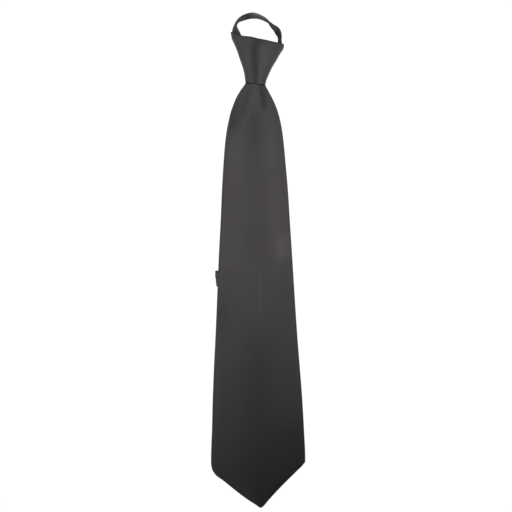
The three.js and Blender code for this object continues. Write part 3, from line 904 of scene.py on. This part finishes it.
def zip_teeth():
    """Meshed nylon teeth, turn about from left and right, and the parted rows above the slider."""
    points, faces = bead(*TOOTH_SIZE)
    places = []
    for i, y in enumerate(np.arange(TAIL_END + 0.4, CHAIN_TOP, TOOTH_PITCH)):
        side = 1 if i % 2 else -1
        x, up = beside_tail(y, side * TOOTH_ASIDE)
        ahead = np.array(beside_tail(y + 1, 0)) - np.array(beside_tail(y, 0))
        height = max(float(BAND.z(y)), TOOTH_LOWEST)
        across = np.array([ahead[1], -ahead[0], 0]) * side
        places.append((turned(across), np.array([x, up, height])))
    line = strap_line(TOOTH_PITCH * 2)
    middle, along, across, out = strap_frames(line)
    parted = (line[:, 1] > PARTED_FROM) & (line[:, 1] < PARTED_TO)
    parted = parted & (np.abs(line[:, 0]) < PARTED_ASIDE)
    for i in np.flatnonzero(parted):
        edge = middle[i] - across[i] * (STRAP_WIDTH / 2 + PARTED_REACH)
        places.append((turned(across[i], out[i]), edge))
    return copies("zipper_teeth", points, faces, places, ZIP_TEETH)


TAPE_INNER = 0.35
TAPE_OUTER = 2.4
TAPE_HALF_THICKNESS = 0.17


def zip_tape(side):
    """The woven tape that the teeth stand on, from under the sewn band to the middle of the zip."""
    y = np.linspace(TAIL_END, TAIL_HIGH_END, 160)
    low, high = -TAPE_HALF_THICKNESS, TAPE_HALF_THICKNESS
    rings = []
    for aside, lift in [(TAPE_INNER, low), (TAPE_OUTER, low), (TAPE_OUTER, high), (TAPE_INNER, high)]:
        x, up = beside_tail(y, side * aside)
        rings.append(np.stack([x, up, BAND.z(y) + lift], axis=1))
    return skin(f"zip_tape_{'right' if side > 0 else 'left'}", np.stack(rings, axis=1), STRAP_CLOTH)


def stitches(name, ends, thickness):
    """Short threads from point to point, each a rounded rod."""
    points, faces = bead(1, 1, 1, sides=6, power=4)
    places = []
    for start, stop in ends:
        start, stop = np.array(start, float), np.array(stop, float)
        run = stop - start
        turn = turned(run, (0.01, 0.02, 1))
        scale = np.array([np.linalg.norm(run), thickness, thickness])
        places.append((turn * scale[None, :], (start + stop) / 2))
    return copies(name, points, faces, places, THREAD)


SEAM_THREAD = 0.42
SLIP_FROM = -148
SLIP_TO = 120
SLIP_PITCH = 7.5
SLIP_HALF_WIDTH = 0.95
SLIP_HALF_SLANT = 0.8
SLIP_HEIGHT = 0.25
BAR_TOP = -150.2
BAR_PITCH = 0.42
BAR_COUNT = 13
BAR_HALF_WIDTH = 3.4
BAR_HEIGHT = 0.22
BAR_SLANT = 0.12


def seam_stitches():
    """Slip stitches across the blade's back seam, and a bar of close stitches at the opening's head."""

    def seam_x(y):
        return float((BLADE.left(y) + BLADE.right(y)) / 2)

    ends = []
    for y in np.arange(SLIP_FROM, SLIP_TO, SLIP_PITCH):
        x = seam_x(y)
        height = float(drape(np.array(x), np.array(y))) + SLIP_HEIGHT
        low = (x - SLIP_HALF_WIDTH, y - SLIP_HALF_SLANT, height)
        high = (x + SLIP_HALF_WIDTH, y + SLIP_HALF_SLANT, height)
        ends.append((low, high))
    x = seam_x(-151)
    for i in range(BAR_COUNT):
        y = BAR_TOP - i * BAR_PITCH
        low = (x - BAR_HALF_WIDTH, y, BAR_HEIGHT)
        high = (x + BAR_HALF_WIDTH, y + BAR_SLANT, BAR_HEIGHT)
        ends.append((low, high))
    return stitches("back_seam_stitches", ends, SEAM_THREAD)


TAPE_THREAD = 0.3
TAPE_STITCH_ASIDE = (2.7, 9.0)
TAPE_STITCH_TOP = 156
TAPE_STITCH_PITCH = 2.6
TAPE_STITCH_LENGTH = 1.8
TAPE_STITCH_LIFT = 0.84


def tape_stitches():
    """Two rows of running stitches that hold the zip's tape in each tail band."""
    ends = []
    for side in (-1, 1):
        for aside in TAPE_STITCH_ASIDE:
            for y in np.arange(TAIL_END + 1.5, TAPE_STITCH_TOP, TAPE_STITCH_PITCH):
                height = float(BAND.z(y)) + TAPE_STITCH_LIFT
                x0, y0 = beside_tail(y, side * aside)
                x1, y1 = beside_tail(y + TAPE_STITCH_LENGTH, side * aside)
                ends.append(((float(x0), float(y0), height), (float(x1), float(y1), height)))
    return stitches("tape_stitches", ends, TAPE_THREAD)


SLIDER_LOW, SLIDER_HIGH = box_mm("zipper_slider")
SLIDER_PLATE = 0.8
SLIDER_RIM = 0.25
SLIDER_CORNER = 0.9
SLIDER_BEVEL = 0.18


def slider():
    """Two plates with turned-in rims, joined by a wedge between the bands."""
    y = np.linspace(SLIDER_LOW[1], SLIDER_HIGH[1], 24)
    share = (y - y[0]) / (y[-1] - y[0])
    top = SLIDER_HIGH[2]

    def cut_back(run, reach):
        return SLIDER_CORNER * (1 - np.sqrt(np.clip(run / reach, 0, 1)))

    def column(aside, z):
        return np.stack([TAIL.x(y) + aside, y, 0 * y + z], axis=1)

    side = 3.5 + 1.0 * smooth(0.1, 0.75, share)
    side = side - cut_back(share, 0.12) - cut_back(1 - share, 0.1)
    web = 0.35 + 0.6 * smooth(0.3, 0.9, share)
    profile = [
        (side, SLIDER_RIM),
        (side, SLIDER_PLATE),
        (web, SLIDER_PLATE),
        (web, top - SLIDER_PLATE),
        (side, top - SLIDER_PLATE),
        (side, top - SLIDER_RIM),
        (0.93 * side, top),
        (0.5 * side, top),
    ]
    right = [column(aside, z) for aside, z in profile]
    left = [column(-aside, z) for aside, z in profile[::-1]]
    bottom = [column(share_of_side * side, 0) for share_of_side in (-0.93, -0.4, 0.4, 0.93)]
    piece = skin("slider_body", np.stack(right + left + bottom, axis=1), ZIP_SLIDER)
    rounding = piece.modifiers.new("rounded_edges", "BEVEL")
    rounding.width = SLIDER_BEVEL * MM
    rounding.segments = 2
    rounding.limit_method = "ANGLE"
    rounding.angle_limit = math.radians(40)
    return piece


TAB_INSIDE = -4


def tab_outline():
    """The tail cover's outline: a block and two lobes, its left half from the top down and then its right.

    Both halves have the same points, so that the strips of faces over its top and bottom run level.
    """
    middle = (TAB_LOW[0] + TAB_HIGH[0]) / 2
    side = middle - TAB_LOW[0] + NAP
    points = [(TAB_INSIDE, TAB_TOP)]

    def arc(x, y, radius, start, stop, count):
        angles = np.radians(np.linspace(start, stop, count))
        points.extend((x + radius * math.cos(a), y + radius * math.sin(a)) for a in angles)

    arc(-side + 0.8, TAB_TOP - 0.8, 0.8, 90, 180, 6)
    arc(-side + 1, -16.2, 1, 180, 215, 4)
    points.append((-side + 0.65, -18.5))
    arc(-side + 1.7, -20.6, 1.2, 150, 215, 6)
    points.append((-side + 1.1, -22.4))
    arc(-side + 2.2, -24, 1.35, 150, 270, 8)
    points.append((TAB_INSIDE, -25.5))
    half = np.array(points)
    other = half[::-1] * [-1, 1]
    return np.concatenate([half, other]) + [middle, 0]


# The cover's outline at shares of its height, as shares of the full outline
TAB_LEVELS = [(0, 0.93), (0.14, 0.975), (0.3, 0.993), (0.5, 1), (0.7, 0.993), (0.86, 0.975), (1, 0.93)]


def tail_tab():
    """Cloth folded over the tail's lower end and sewn down, with rounded edges."""
    outline = tab_outline()
    middle = outline.mean(axis=0)
    height = TAB_HIGH[2]
    rings = []
    for z, size in TAB_LEVELS:
        inset = middle + (outline - middle) * size
        rings.append(np.concatenate([inset, np.full((len(inset), 1), z * height)], axis=1))
    return skin("tail_cover", np.stack(rings), STRAP_CLOTH, flat_map=True)


ZIGZAG_THREAD = 0.34
ZIGZAG_POINTS = 26
ZIGZAG_WIDTH = 2.4
ZIGZAG_LIFT = 0.02
ZIGZAG_INSET = 1.4


def tab_stitches():
    """Zigzag overlock stitches across the cover's upper edge."""
    top = TAB_TOP - 0.2
    levels = (top, top - ZIGZAG_WIDTH)
    height = TAB_HIGH[2] + ZIGZAG_LIFT
    xs = np.linspace(TAB_LOW[0] + ZIGZAG_INSET, TAB_HIGH[0] - ZIGZAG_INSET, ZIGZAG_POINTS)
    ends = []
    for i in range(ZIGZAG_POINTS - 1):
        start, stop = levels[i % 2], levels[1 - i % 2]
        ends.append(((xs[i], start, height), (xs[i + 1], stop, height)))
    return stitches("cover_stitches", ends, ZIGZAG_THREAD)


FLOOR_HALF_SIZE = 4.0
FLOOR_DROP = 0.0003
FLOOR_GREY = (0.06, 0.06, 0.06)


def floor():
    """A wide plain white floor just under the tie, bright enough to lose the tie's faint shadow."""
    mesh = bpy.data.meshes.new("floor")
    size = FLOOR_HALF_SIZE
    corners = [(-size, -size, 0), (size, -size, 0), (size, size, 0), (-size, size, 0)]
    mesh.from_pydata(corners, [], [(0, 1, 2, 3)])
    piece = bpy.data.objects.new("floor", mesh)
    piece.location.z = -FLOOR_DROP
    bpy.context.collection.objects.link(piece)
    finish = Finish("floor_white", FLOOR_GREY, 0.8)
    finish.feed({"Emission Color": (1, 1, 1, 1), "Emission Strength": 1.0})
    mesh.materials.append(finish.material)


# Each lamp's name, place and size in metres, and its power in watts
LAMPS = [
    ("key", (0.0, 0.04, 0.27), (0.16, 0.12), 0.43),
    ("loop_end", (0.03, 0.26, 0.34), (0.16, 0.1), 0.47),
    ("tip_end", (-0.06, -0.11, 0.22), (0.1, 0.1), 0.032),
]
SKY_STRENGTH = 0.03


def area_light(name, place, size, power):
    """A rectangular lamp that shines straight down."""
    lamp = bpy.data.lights.new(name, "AREA")
    lamp.shape = "RECTANGLE"
    lamp.size, lamp.size_y = size
    lamp.energy = power
    holder = bpy.data.objects.new(name, lamp)
    holder.location = place
    holder.rotation_euler = Vector((0, 0, -place[2])).to_track_quat("-Z", "Y").to_euler()
    holder.visible_camera = False
    bpy.context.collection.objects.link(holder)


def studio():
    """Three small lamps, strongest over the loop and weak at the tip, in a faint sky."""
    for lamp in LAMPS:
        area_light(*lamp)
    world = bpy.data.worlds.new("studio")
    world.use_nodes = True
    world.node_tree.nodes["Background"].inputs["Color"].default_value = (1, 1, 1, 1)
    world.node_tree.nodes["Background"].inputs["Strength"].default_value = SKY_STRENGTH
    bpy.context.scene.world = world
    bpy.context.scene.view_settings.view_transform = "Standard"


# The width that the picture frames and the height of the tie's front in metres, and the picture's middle
FRAME_WIDTH = 0.4908
FRONT_HEIGHT = 0.006
FRAME_MIDDLE = (-2.06, 3.98)
LENS = 200
SENSOR = 36


def camera():
    """Straight above, framed as the photograph is: its middle is beside the tie's middle."""
    data = bpy.data.cameras.new("camera")
    data.lens, data.sensor_width = LENS, SENSOR
    data.clip_end = 20
    holder = bpy.data.objects.new("camera", data)
    height = FRAME_WIDTH * LENS / SENSOR + FRONT_HEIGHT
    holder.location = (FRAME_MIDDLE[0] * MM, FRAME_MIDDLE[1] * MM, height)
    bpy.context.collection.objects.link(holder)
    bpy.context.scene.camera = holder


def dress():
    """Makes every piece, hides the solids that it stands for, and sets it to ride on the root body."""
    pieces = [
        (blade(), "tie_cloth", ["front_blade"]),
        (knot(), "tie_cloth", ["knot"]),
        (neck_strap(), "strap_cloth", ["neck_strap"]),
        (zip_teeth(), "zip_teeth", ["zipper_chain"]),
        (slider(), "zip_slider", ["zipper_slider"]),
        (tail_tab(), "strap_cloth", ["tail_tab"]),
        (zip_tape(-1), "strap_cloth", []),
        (zip_tape(1), "strap_cloth", []),
        (seam_stitches(), "tie_cloth", []),
        (tape_stitches(), "strap_cloth", []),
        (tab_stitches(), "strap_cloth", []),
    ]
    for piece, slot, nodes in pieces:
        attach(piece, "root")
        if nodes:
            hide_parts(*nodes)


camera()
floor()
studio()
dress()
